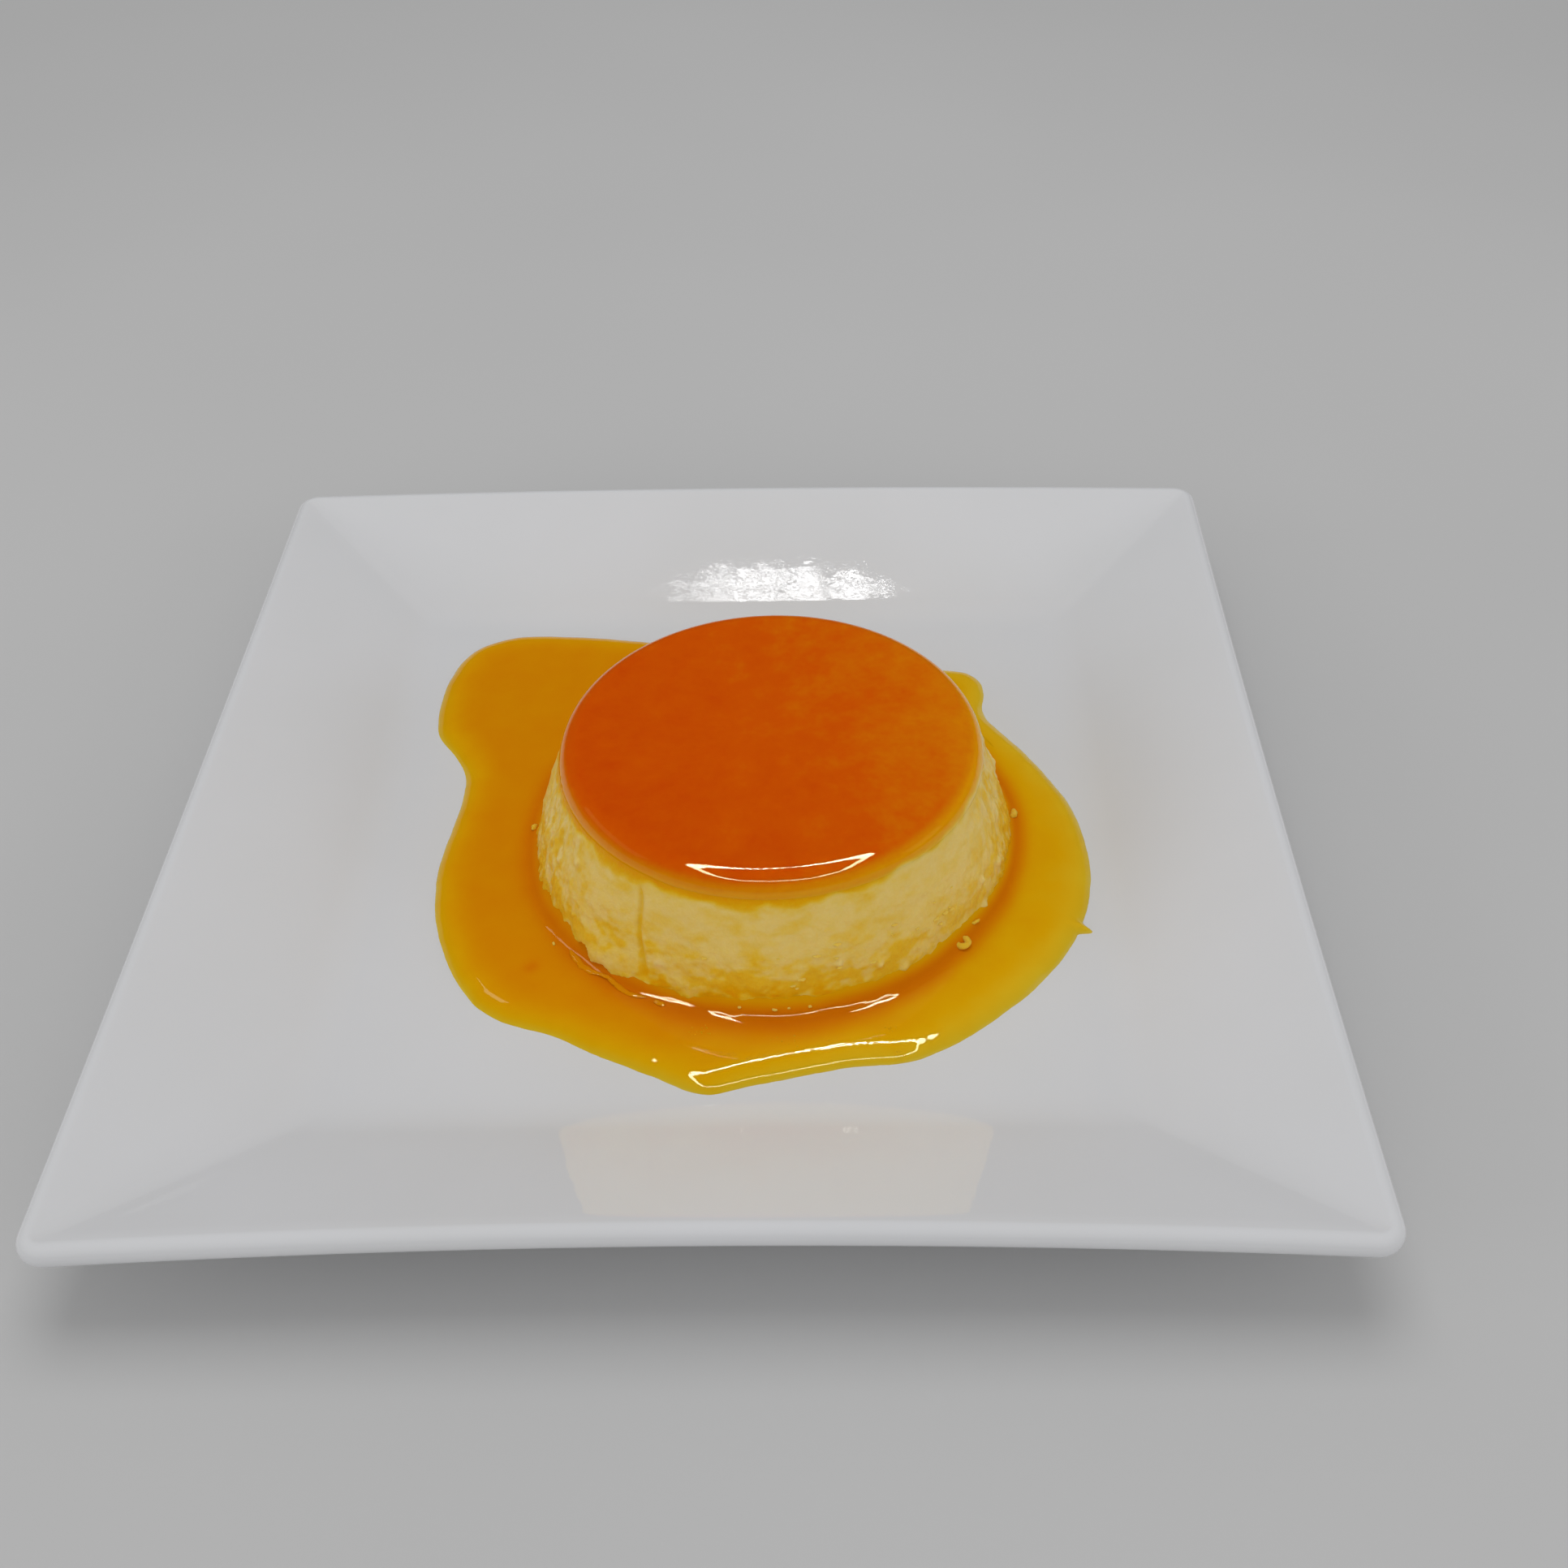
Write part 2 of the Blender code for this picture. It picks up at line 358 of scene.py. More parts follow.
def caramel_top_finish():
    nodes = Nodes(bpy.data.materials.new("caramel_top"))
    soak = nodes.sway(nodes.read("soak"), nodes.noise(7 * MM, 5), 0.12)
    soak = nodes.sway(soak, nodes.noise(1.1 * MM, 3), 0.09)
    share = nodes.math("DIVIDE", soak, SOAK_FULL)
    nodes.link(nodes.ramp(share, SOAK_COLOURS), nodes.shader.inputs["Base Color"])
    nodes.set(roughness=0.015, subsurface_weight=0.15, subsurface_scale=SCATTER_DEPTH)
    nodes.shader.inputs["Subsurface Radius"].default_value = (1.0, 0.3, 0.05)
    nodes.shader.inputs["IOR"].default_value = 1.37
    nodes.shader.inputs["Specular Tint"].default_value = CAP_GLINT
    nodes.bumps((nodes.noise(9 * MM, 2), 0.01 * MM))
    return nodes.owner


def sauce_finish():
    nodes = Nodes(bpy.data.materials.new("caramel_sauce"))
    depth = nodes.sway(nodes.read("depth"), nodes.noise(6 * MM, 4), 0.16)
    # Colours of the sauce by its depth value. The darkest stops, reached only against the
    # custard's foot, are deep sauce with painted shade.
    colours = (
        (0.00, (0.80, 0.62, 0.12)),
        (0.12, (0.80, 0.53, 0.02)),
        (0.30, (0.80, 0.42, 0.002)),
        (0.52, (0.77, 0.30, 0.001)),
        (0.76, (0.73, 0.205, 0.001)),
        (1.00, (0.64, 0.125, 0.001)),
    )
    nodes.link(nodes.ramp(depth, colours), nodes.shader.inputs["Base Color"])
    nodes.set(roughness=0.02)
    nodes.shader.inputs["IOR"].default_value = 1.37
    nodes.shader.inputs["Specular Tint"].default_value = SAUCE_GLINT
    nodes.bumps((nodes.noise(8 * MM, 2), 0.006 * MM))
    return nodes.owner


def porcelain_finish():
    nodes = Nodes(bpy.data.materials.new("porcelain"))
    tints = ((0.3, (0.765, 0.77, 0.785)), (0.7, (0.78, 0.785, 0.805)))
    nodes.link(nodes.ramp(nodes.noise(30 * MM, 3), tints), nodes.shader.inputs["Base Color"])
    nodes.link(nodes.spread(nodes.noise(12 * MM, 4), 0.01, 0.04), nodes.shader.inputs["Roughness"])
    nodes.shader.inputs["IOR"].default_value = 1.5
    nodes.bumps((nodes.noise(1.2 * MM, 1), 0.005 * MM), (nodes.noise(9 * MM, 2), 0.02 * MM))
    return nodes.owner


# ---------------------------------------------------------------- plate


def bowed_square(half, height, corner, lift):
    """A row of points round the plate. lift is the share of the lip's bow it has."""
    straight = half - corner
    along = np.linspace(-1, 1, SIDE_STEPS + 1)
    bow = lift * (1 - along**2)
    side = np.stack([straight * along, SIDE_BOW_IN * bow - half, height + SIDE_BOW_UP * bow], 1)
    angle = np.linspace(-math.pi / 2, 0, CORNER_STEPS + 1)[1:-1]
    round_off = np.stack(
        [
            straight + corner * np.cos(angle),
            corner * np.sin(angle) - straight,
            np.full(len(angle), height),
        ],
        1,
    )
    quarter = np.concatenate([side, round_off])
    quarters = []
    for turn in range(4):
        spin = np.array(Matrix.Rotation(turn * math.pi / 2, 3, "Z"))
        quarters.append(quarter @ spin.T)
    return np.concatenate(quarters)


def between(start, end, steps):
    for step in range(1, steps + 1):
        share = step / steps
        yield tuple(a + (b - a) * share for a, b in zip(start, end))


def plate_rows():
    """From the middle of the well, over the lip and back under to the foot."""
    run = PLATE_HALF - LIP_RADIUS - WELL_HALF
    rise = LIP_HEIGHT - WELL_FLOOR
    slope = math.atan2(rise, run) + math.asin(LIP_RADIUS / math.hypot(run, rise))
    lip_half = PLATE_HALF - LIP_RADIUS
    start = (WELL_HALF - WELL_TURN, WELL_FLOOR, WELL_CORNER, 0)
    yield from between((start[0] * 0.02, WELL_FLOOR, WELL_CORNER * 0.02, 0), start, 12)
    turn_lift = WELL_TURN / (lip_half - WELL_HALF)
    for share in np.linspace(0, 1, 13)[1:]:
        half = start[0] + 2 * WELL_TURN * share
        height = WELL_FLOOR + WELL_TURN * math.tan(slope) * share**2
        last = (half, height, WELL_CORNER, turn_lift * share**2)
        yield last
    top = (
        lip_half - LIP_RADIUS * math.sin(slope),
        LIP_HEIGHT + LIP_RADIUS * math.cos(slope),
        MITRE_CORNER,
        1,
    )
    yield from between(last, top, 12)
    for angle in np.linspace(slope + math.pi / 2, slope - math.pi / 2, 21)[1:]:
        half = lip_half + LIP_RADIUS * math.cos(angle)
        height = LIP_HEIGHT + LIP_RADIUS * math.sin(angle)
        last = (half, height, max(MITRE_CORNER, OUTLINE_CORNER - PLATE_HALF + half), 1)
        yield last
    foot_run = (last[1] - FOOT_LIFT) / math.tan(slope)
    yield from between(last, (last[0] - foot_run, FOOT_LIFT, FOOT_CORNER, 0), 10)
    ease = 0.4 * MM
    yield FOOT_OUTER + ease / 2, ease, FOOT_CORNER, 0
    yield FOOT_OUTER, 0, FOOT_CORNER, 0
    yield FOOT_INNER, 0, FOOT_CORNER, 0
    yield FOOT_INNER - FOOT_RECESS / 4, FOOT_RECESS, FOOT_CORNER, 0


def make_plate():
    rows = np.array([bowed_square(*row) for row in plate_rows()])
    mesh = skin("porcelain_plate", weave(rows, ((0, 0, WELL_FLOOR), (0, 0, FOOT_RECESS))))
    return piece(mesh, porcelain_finish(), "porcelain", "plate")


# ---------------------------------------------------------------- flan


def wall_radius(bearing, height):
    """Radius of the custard's wall before its surface is roughened."""
    share = (height - WELL_FLOOR) / WALL_HEIGHT
    radius = FOOT_RADIUS + (SHOULDER_RADIUS - FOOT_RADIUS) * share
    radius = radius + BULGE * np.sin(math.pi * share)
    for count, depth, phase in FOOT_WAVES:
        radius = radius + depth * (1 - share) * np.sin(np.radians(count * bearing + phase))
    return radius


def wrinkling(bearing):
    """Where the skin has drawn into upright wrinkles: at both sides, less behind."""
    sides = np.maximum(bell(bearing, 196, 34), bell(bearing, 356, 34))
    return np.maximum(sides, 0.6 * bell(bearing, 95, 60))


def curds(points):
    """Lumps of the custard, from about -1 in its hollows to 1."""
    return 0.6 * lumps(points, 3.2 * MM, 2, 3) + 0.4 * lumps(points, 1.5 * MM, 4, 2)


def wrinkles(points):
    """Upright folds of the skin, from about -1 to 1."""
    return lumps(points, (1.7 * MM, 1.7 * MM, 8 * MM), 3, 3)


def relief(bearing, height, points):
    """How far the custard's skin stands out from its smooth wall."""
    low = 1 - smooth_step(10 * MM, 24 * MM, height)
    out = 0.20 * MM * lumps(points, 12 * MM, 1)
    out += (0.12 + 0.22 * low) * MM * curds(points)
    out += 0.50 * MM * wrinkling(bearing) * wrinkles(points)
    out -= crease(bearing, height)
    out += torn_skin(bearing, height)
    for knob in KNOBS:
        out += KNOB_HEIGHT * knob_shape(bearing, height, *knob)
    return out * smooth_step(SEAM + 0.4 * MM, SEAM - 2.0 * MM, height)


# Bearing, height and width of lumps that stand out from the wall.
KNOBS = (
    (341, 12.7 * MM, 1.7 * MM),
    (330, 9.2 * MM, 1.8 * MM),
    (368.5, 18.8 * MM, 1.6 * MM),
    (301.5, 10.2 * MM, 1.4 * MM),
    (295.5, 12.8 * MM, 1.6 * MM),
    (286, 15.0 * MM, 1.1 * MM),
    (331.5, 14.0 * MM, 1.3 * MM),
    (244, 13.5 * MM, 1.8 * MM),
    (206, 18.0 * MM, 1.6 * MM),
    (214, 21.5 * MM, 1.5 * MM),
)


def knob_shape(bearing, height, centre, level, width):
    across = turned(bearing, centre) * math.radians(1) * FOOT_RADIUS
    return np.exp(-(across**2 + (height - level) ** 2) / (0.5 * width) ** 2)


def crease(bearing, height):
    """A fold down the front left, from under the soaked layer almost to the foot."""
    share = np.clip((CREASE_HIGH - height) / CREASE_DROP, 0, 1)
    centre = CREASE_BEARING + 5 * share + 0.5 * np.sin(9 * share)
    across = turned(bearing, centre) * math.radians(1) * FOOT_RADIUS
    depth = 0.55 * MM * smooth_step(0, 0.15, share) * smooth_step(1, 0.8, share)
    return depth * np.exp(-((across / (0.6 * MM)) ** 2))


def torn_skin(bearing, height):
    """A flap along the front left of the foot, torn into points that hang over the sauce."""
    reach = bell(bearing, TEAR_BEARING, TEAR_HALF)
    teeth = 0.9 * MM * np.abs(np.sin(np.radians(bearing * 27)))
    hem = 7.6 * MM + teeth + 1.2 * MM * bell(bearing, 223.5, 4)
    over = smooth_step(hem - 0.35 * MM, hem + 0.35 * MM, height)
    fade = smooth_step(15 * MM, 9.5 * MM, height)
    return reach * (1.35 * MM * over * fade - 0.6 * MM * (1 - over))


def flan_surface(bearing, along):
    """Points of the flan's skin. along runs up the wall, over the shoulder to the top."""
    height = np.minimum(WELL_FLOOR + along, SEAM)
    lean = np.clip((along - WALL_HEIGHT) / SHOULDER_ROUND, 0, math.pi / 2)
    angle = np.radians(bearing)
    radius = wall_radius(bearing, height) - SHOULDER_ROUND * (1 - np.cos(lean))
    smooth = np.stack([radius * np.cos(angle), radius * np.sin(angle), height], -1)
    radius = radius + relief(bearing, height, smooth)
    height = height + SHOULDER_ROUND * np.sin(lean)
    x, y = AXIS[0] + radius * np.cos(angle), AXIS[1] + radius * np.sin(angle)
    return np.stack([x, y, height], -1)


def soaking(bearing, along, points):
    """How much caramel the skin has soaked up, from 0 for plain custard to about 1.2."""
    edge = lumps(points, 6 * MM, 5, 2)
    level = along - 22.9 * MM - 1.2 * MM * np.sin(np.radians(bearing - 280))
    level = level - 1.8 * MM * (1 - bell(bearing, 265, 130))
    band = 0.45 * smooth_step(-4.0 * MM, -1.9 * MM, level + 1.7 * MM * edge)
    band = band + 0.16 * smooth_step(-2.8 * MM, -0.9 * MM, level)
    dark = 0.12 * smooth_step(-0.6 * MM, 0.5 * MM, level + 0.15 * MM * edge)
    dark = dark + 0.25 * smooth_step(0.4 * MM, 2.4 * MM, level)
    height = WELL_FLOOR + along
    blots = lumps(points, (6 * MM, 6 * MM, 3.4 * MM), 6, 3)
    low = 1 - smooth_step(8.5 * MM, 21 * MM, height)
    hollow = np.clip(0.15 - curds(points), 0, 1)
    foot = 1 - smooth_step(8.4 * MM, 13.0 * MM, height + 2.2 * MM * edge)
    foot = foot * (0.04 + 0.22 * bell(bearing, 274, 62))
    stain = 0.05 + 0.09 * low + (0.20 + 0.48 * low) * np.clip(blots + 0.15, 0, 1)
    stain = stain + (0.08 + 0.20 * low) * hollow
    stain = stain + 0.45 * wrinkling(bearing) * np.clip(0.1 - wrinkles(points), -0.2, 0.6)
    stain = stain + 0.4 * crease(bearing, height) / MM
    for knob in KNOBS:
        stain = stain - 0.35 * knob_shape(bearing, height, *knob)
    hem = bell(bearing, TEAR_BEARING, TEAR_HALF) * smooth_step(12 * MM, 10 * MM, height)
    stain = np.clip(stain, 0, 0.38) * (1 - 0.45 * hem) + foot * (1 - hem)
    stain = stain * (1 - 0.3 * bell(bearing, 322, 35))
    side = smooth_step(WALL_HEIGHT + 3 * MM, WALL_HEIGHT - 1 * MM, along)
    return np.maximum(band, stain * side) + dark


def top_soaking(points):
    """Soaking of the top: darkest at the left, palest at the right edge."""
    across = (points[..., 0] - AXIS[0]) / SHOULDER_RADIUS
    away = (points[..., 1] - AXIS[1]) / SHOULDER_RADIUS
    blots = 0.04 * lumps(points, 9 * MM, 8, 4) + 0.045 * lumps(points, 3 * MM, 13, 4)
    return 1.015 - 0.09 * across - 0.045 * away - 0.17 * np.clip(across, 0, 1) ** 3 + blots


def make_custard(finish):
    bearings, alongs = np.meshgrid(BEARINGS, np.linspace(0, WALL_HEIGHT, WALL_ROWS))
    points = flan_surface(bearings, alongs)
    mesh = skin("custard_body", weave(points, ((*AXIS, WELL_FLOOR), (*AXIS, SEAM))))
    paint(mesh, "soak", soaking(bearings, alongs, points))
    return piece(mesh, finish, "custard", "custard")


def make_caramel_top():
    along = np.linspace(WALL_HEIGHT, WALL_HEIGHT + ROUND_LENGTH, ROUND_ROWS)
    bearings, alongs = np.meshgrid(BEARINGS, along)
    shoulder = flan_surface(bearings, alongs)
    soak = soaking(bearings, alongs, shoulder)
    brow = shoulder[-1]
    inner = (1 - np.linspace(0, TOP_SHARE, TOP_ROWS + 1)[1:])[:, None, None]
    middle = np.array([*AXIS, brow[:, 2].mean()])
    flat = middle + (brow - middle) * inner
    flat[..., 2] += 0.03 * MM * lumps(flat, 14 * MM, 9, 2) * (1 - inner[..., 0] ** 6)
    points = np.concatenate([shoulder, flat])
    top_soak = top_soaking(points)
    brim = WALL_HEIGHT + 2.4 * MM + 1.1 * MM * bell(bearings, 150, 130)
    brim = brim + 0.8 * MM * bell(bearings, 328, 38)
    on_top = smooth_step(brim, brim + 3.1 * MM, alongs)
    shoulder_soak = soak + on_top * (top_soak[: len(soak)] - soak)
    soak = np.concatenate([shoulder_soak, top_soak[len(soak) :]])
    mesh = skin("caramel_layer", weave(points, ((*AXIS, SEAM), middle)))
    paint(mesh, "soak", soak)
    return piece(mesh, caramel_top_finish(), "caramel_top", "caramel_top")


# ---------------------------------------------------------------- sauce


def pool_outline(bearings):
    """Distance of the pool's edge from the axis, through the CAD pool's outer corners."""
    corners = {}
    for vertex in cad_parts["caramel_sauce"].data.vertices:
        x, y = vertex.co.x - AXIS[0], vertex.co.y - AXIS[1]
        key = round(math.degrees(math.atan2(y, x)) % 360)
        corners[key] = max(corners.get(key, 0), math.hypot(x, y))
    keys = np.array(sorted(corners))
    reach = np.array([corners[key] for key in keys])
    around = np.concatenate([keys - 360, keys, keys + 360])
    return smooth_curve(around, np.tile(reach, 3), bearings)


def smooth_curve(x, y, at):
    """A smooth curve through these points."""
    slope = np.gradient(y, x)
    i = np.clip(np.searchsorted(x, at, side="right") - 1, 0, len(x) - 2)
    width = x[i + 1] - x[i]
    t = (at - x[i]) / width
    return (
        (2 * t**3 - 3 * t**2 + 1) * y[i]
        + (t**3 - 2 * t**2 + t) * width * slope[i]
        + (3 * t**2 - 2 * t**3) * y[i + 1]
        + (t**3 - t**2) * width * slope[i + 1]
    )


def nearest(points, outline):
    """Distance from each point to the closed outline."""
    ends = np.roll(outline, -1, axis=0)
    best = np.full(len(points), np.inf)
    for start, end in zip(outline, ends):
        run = end - start
        t = np.clip((points - start) @ run / (run @ run), 0, 1)
        gap = points - start - t[:, None] * run
        best = np.minimum(best, (gap**2).sum(1))
    return np.sqrt(best)


def meniscus(bearing, out, climb_to):
    """How far the sauce climbs at this distance out from the custard. It climbs least at
    the sides."""
    slope = CLIMB_SLOPE * (1 - 0.7 * np.maximum(bell(bearing, 178, 45), bell(bearing, 2, 45)))
    return slope * CLIMB_FADE * np.log1p(np.exp((climb_to - out) / CLIMB_FADE))


def direction_at(bearing):
    return np.array([math.cos(math.radians(bearing)), math.sin(math.radians(bearing))])


def make_sauce(finish):
    bearing, angle = BEARINGS, np.radians(BEARINGS)
    direction = np.stack([np.cos(angle), np.sin(angle)], 1)
    reach = pool_outline(bearing)
    ring = np.concatenate([direction * reach[:, None], np.zeros((COLUMNS, 1))], 1)
    reach = reach + 0.20 * MM * lumps(ring, 9 * MM, 11, 2)
    reach = reach + 0.05 * MM * lumps(ring, 1.4 * MM, 12, 2)
    reach = reach + SPIKE_LENGTH * bell(bearing, SPIKE_BEARING, 1.6)
    reach = reach - 0.8 * MM * bell(bearing, 285, 30)
    wall = wall_radius(bearing, POOL_LEVEL)
    outline = direction * reach[:, None]
    inset, climb = np.array(EDGE_ROWS) * MM, np.array(NEAR_ROWS) * MM
    rows = [wall + out for out in climb]
    middle = reach - inset[-1] - wall - climb[-1]
    rows += [wall + climb[-1] + middle * k / MIDDLE_ROWS for k in range(1, MIDDLE_ROWS)]
    rows += [reach - back for back in inset[::-1]]
    radii = np.array(rows)
    flat = direction[None] * radii[..., None]
    to_edge = nearest(flat.reshape(-1, 2), outline).reshape(radii.shape)
    to_wall = radii - wall
    back = np.clip(EDGE_WIDTH - to_edge, 0, None)
    height = POOL_LEVEL - EDGE_RADIUS + np.sqrt(EDGE_RADIUS**2 - back**2)
    climb_to = CLIMB_REACH - 0.9 * MM * bell(bearing, 226, 15) - 1.1 * MM * bell(bearing, 251, 15)
    climb_to = climb_to + 0.25 * MM * lumps(ring, 8 * MM, 14, 2)
    height = height + meniscus(bearing, to_wall, climb_to)
    points = np.concatenate([flat + AXIS, height[..., None]], -1)
    under = points[[-1, 0]]
    under[..., 2] = POOL_UNDER
    points = np.concatenate([points, under])
    mesh = skin("caramel_pool", weave(points, closed=True))
    right = smooth_step(0, 50 * MM, flat[..., 0])
    left = smooth_step(-12 * MM, -45 * MM, flat[..., 0])
    base = 0.41 + 0.18 * smooth_step(5 * MM, -40 * MM, flat[..., 0]) - 0.10 * right
    side = np.maximum(right, left)
    # Against the custard's wall the sauce is painted darker: partly for the deeper sauce there,
    # partly as painted shade round the flan's foot.
    out = np.clip(to_wall - 2.2 * MM * (1 - 0.6 * side), 0, None) / (3.6 * MM * (1 - 0.4 * side))
    wall_depth_and_shade = 0.78 - 0.08 * right - 0.25 * left
    near = smooth_step(-0.6 * MM, 1.2 * MM, to_wall) * np.exp(-(out**2)) * wall_depth_and_shade
    depth = base + (1 - base) * near
    shallow = 1 - 0.75 * np.exp(-to_edge / (0.8 * MM))
    depth = depth * shallow * (0.62 + 0.38 * smooth_step(0, 8 * MM, to_edge))
    streak = flat - STREAK_RADIUS * direction_at(STREAK_BEARING)
    streak = np.hypot(streak[..., 0], streak[..., 1]) / (1.2 * MM)
    depth = depth + 0.2 * np.exp(-(streak**2))
    depth = np.concatenate([depth, depth[-1:], depth[:1]])
    paint(mesh, "depth", depth)
    return piece(mesh, finish, "caramel_sauce", "caramel_sauce")


# ---------------------------------------------------------------- crumbs, shreds and bubbles

STRAND_SIDES = 10
SPECKS = 20  # grains standing out of the custard low on the front
LARGE_BITS = 4  # the first of the bits, which have soaked up a little more
LARGE_SOAK = 0.30
SMALL_SOAK = 0.20
SHRED_DEPTH = 0.6  # how dark the shreds and bubbles are, in depth of sauce
BUBBLE_DEPTH = 0.2

# Bits of custard lying on the sauce against the wall: bearing, distance out from the wall,
# length, width and how far round the bit curls, in degrees.
BITS = (
    (318, 1.3 * MM, 5.0 * MM, 1.25 * MM, 290),
    (324.5, 0.5 * MM, 1.8 * MM, 0.7 * MM, 40),
    (4.4, 0.9 * MM, 2.3 * MM, 1.35 * MM, 80),
    (178.9, 0.7 * MM, 1.6 * MM, 0.9 * MM, 60),
    (217, 3.2 * MM, 0.8 * MM, 0.5 * MM, 20),
    (263.5, 0.5 * MM, 0.6 * MM, 0.5 * MM, 0),
    (271, 0.6 * MM, 0.9 * MM, 0.5 * MM, 40),
    (274, 0.5 * MM, 0.5 * MM, 0.4 * MM, 0),
    (278.5, 0.6 * MM, 0.6 * MM, 0.5 * MM, 0),
)
# Shreds of skin afloat beside the foot: first and last bearing, distance from the axis, width.
SHREDS = (
    (221, 231, 46.6 * MM, 1.3 * MM),
    (229.5, 243, 46.5 * MM, 1.0 * MM),
    (245, 247.5, 46.8 * MM, 1.1 * MM),
)
# Clusters of bubbles: bearing, distance from the axis, how far they spread and how many.
FOAM = (
    (257, 50.1 * MM, 1.8 * MM, 16),
    (292, 52.2 * MM, 1.6 * MM, 12),
    (291.8, 58 * MM, 1.4 * MM, 8),
    (275, 51.5 * MM, 5.0 * MM, 12),
)


def strand(path, width, thick, seed):
    """A roughened strip along a path of points, tapered to both ends."""
    run = np.gradient(path, axis=0)
    run /= np.linalg.norm(run, axis=1)[:, None]
    across = np.cross(run, (0, 0, 1.0))
    across /= np.linalg.norm(across, axis=1)[:, None]
    lift = np.cross(across, run)
    share = (np.arange(len(path)) + 0.5) / len(path)
    taper = np.sqrt(1 - (2 * share - 1) ** 2)
    turn = np.linspace(0, 2 * math.pi, STRAND_SIDES, endpoint=False)[:, None]
    ring = across[:, None] * np.cos(turn) * width / 2 + lift[:, None] * np.sin(turn) * thick / 2
    rough = 1 + 0.45 * lumps(path[:, None] + ring, 0.7 * width, seed, 2)
    rows = path[:, None] + ring * (taper[:, None] * rough)[..., None]
    step = np.linalg.norm(path[1] - path[0]) / 2
    return weave(rows, (path[0] - run[0] * step, path[-1] + run[-1] * step))


def curl(centre, heading, length, angle):
    """A path of this length in a plane, bent through an angle in degrees."""
    share = np.linspace(-0.5, 0.5, 14)
    facing = heading + np.radians(angle) * share
    step = length / (len(share) - 1)
    track = np.cumsum(np.stack([np.cos(facing), np.sin(facing), 0.3 * share], 1) * step, axis=0)
    return centre + track - track.mean(axis=0)


def on_pool(bearing, out):
    """A point on the sauce this far out from the wall."""
    radius = wall_radius(bearing, POOL_LEVEL) + out
    x, y = AXIS + direction_at(bearing) * radius
    return np.array([x, y, POOL_LEVEL + meniscus(bearing, out, CLIMB_REACH)])


def make_crumbs(finish):
    bits = []
    for number, (bearing, out, length, width, angle) in enumerate(BITS):
        centre = on_pool(bearing, out) + (0, 0, 0.15 * width)
        path = curl(centre, math.radians(bearing + 70), length, angle)
        bits.append(strand(path, width, 0.8 * width, number))
    soak = [LARGE_SOAK] * LARGE_BITS + [SMALL_SOAK] * (len(BITS) - LARGE_BITS + SPECKS)
    dice = np.random.default_rng(4)
    for number in range(SPECKS):
        bearing = dice.uniform(250, 322)
        along = dice.uniform(4.5, 13) * MM
        width = dice.uniform(0.35, 0.9) * MM
        centre = flan_surface(np.array(bearing), np.array(along))
        path = curl(centre, math.radians(bearing + dice.uniform(50, 130)), 1.6 * width, 40)
        bits.append(strand(path, width, 0.45 * width, 30 + number))
    mesh = skin("custard_crumbs", *bits)
    paint(mesh, "soak", np.repeat(soak, [len(points) for points, _ in bits]))
    return piece(mesh, finish, "custard")


def make_shreds(finish):
    parts = []
    for number, (first, last, radius, width) in enumerate(SHREDS):
        bearing = np.linspace(first, last, 26)
        angle = np.radians(bearing)
        wave = radius + 0.35 * MM * np.sin(angle * 29) - wall_radius(bearing, POOL_LEVEL)
        path = np.array([on_pool(*pair) for pair in zip(bearing, wave)])
        parts.append(strand(path, width, 0.45 * MM, 50 + number))
    mesh = skin("skin_shreds", *parts)
    paint(mesh, "depth", np.full(len(mesh.vertices), SHRED_DEPTH))
    return piece(mesh, finish, "caramel_sauce")


def make_bubbles(finish):
    dice = np.random.default_rng(8)
    parts = []
    for bearing, radius, spread, count in FOAM:
        middle = direction_at(bearing) * radius
        for number in range(count):
            x, y = AXIS + middle + dice.normal(0, spread / 2, 2) * (1, 0.6)
            width = dice.uniform(0.12, 0.28) * MM
            centre = np.array([x, y, POOL_LEVEL + 0.1 * width])
            path = curl(centre, dice.uniform(0, 3), 0.6 * width, 0)
            parts.append(strand(path, width, width, number))
    mesh = skin("syrup_bubbles", *parts)
    paint(mesh, "depth", np.full(len(mesh.vertices), BUBBLE_DEPTH))
    return piece(mesh, finish, "caramel_sauce")


# ---------------------------------------------------------------- studio


def make_camera():
    data = bpy.data.cameras.new("camera")
    data.lens = CAMERA_LENS
    data.sensor_width = CAMERA_SENSOR
    data.shift_x = CAMERA_SHIFT
    data.clip_start = 0.01
    camera = bpy.data.objects.new("camera", data)
    level = Matrix.Rotation(math.pi / 2 - CAMERA_PITCH, 4, "X")
    roll = Matrix.Rotation(-CAMERA_ROLL, 4, "Z")
    yaw = Matrix.Rotation(CAMERA_YAW, 4, "Z")
    camera.matrix_world = Matrix.Translation(CAMERA_PLACE) @ yaw @ level @ roll
    bpy.context.scene.collection.objects.link(camera)
    bpy.context.scene.camera = camera


def soft_box(name, place, aim, size, radiance, diffuse=True, lit=None, tint=(1, 1, 1)):
    """A rectangular light of this size at place, facing aim. Without diffuse it shows only
    in reflections, and with lit it falls on those pieces only."""
    data = bpy.data.lights.new(name, "AREA")
    data.shape = "RECTANGLE"
    data.size, data.size_y = size
    data.color = tint
    data.energy = radiance * math.pi * size[0] * size[1]
    lamp = bpy.data.objects.new(name, data)
    lamp.location = place
    lamp.rotation_euler = (Vector(aim) - Vector(place)).to_track_quat("-Z", "Y").to_euler()
    lamp.visible_camera = False
    lamp.visible_diffuse = diffuse
    bpy.context.scene.collection.objects.link(lamp)
    if lit:
        lamp.light_linking.receiver_collection = lit
    return lamp


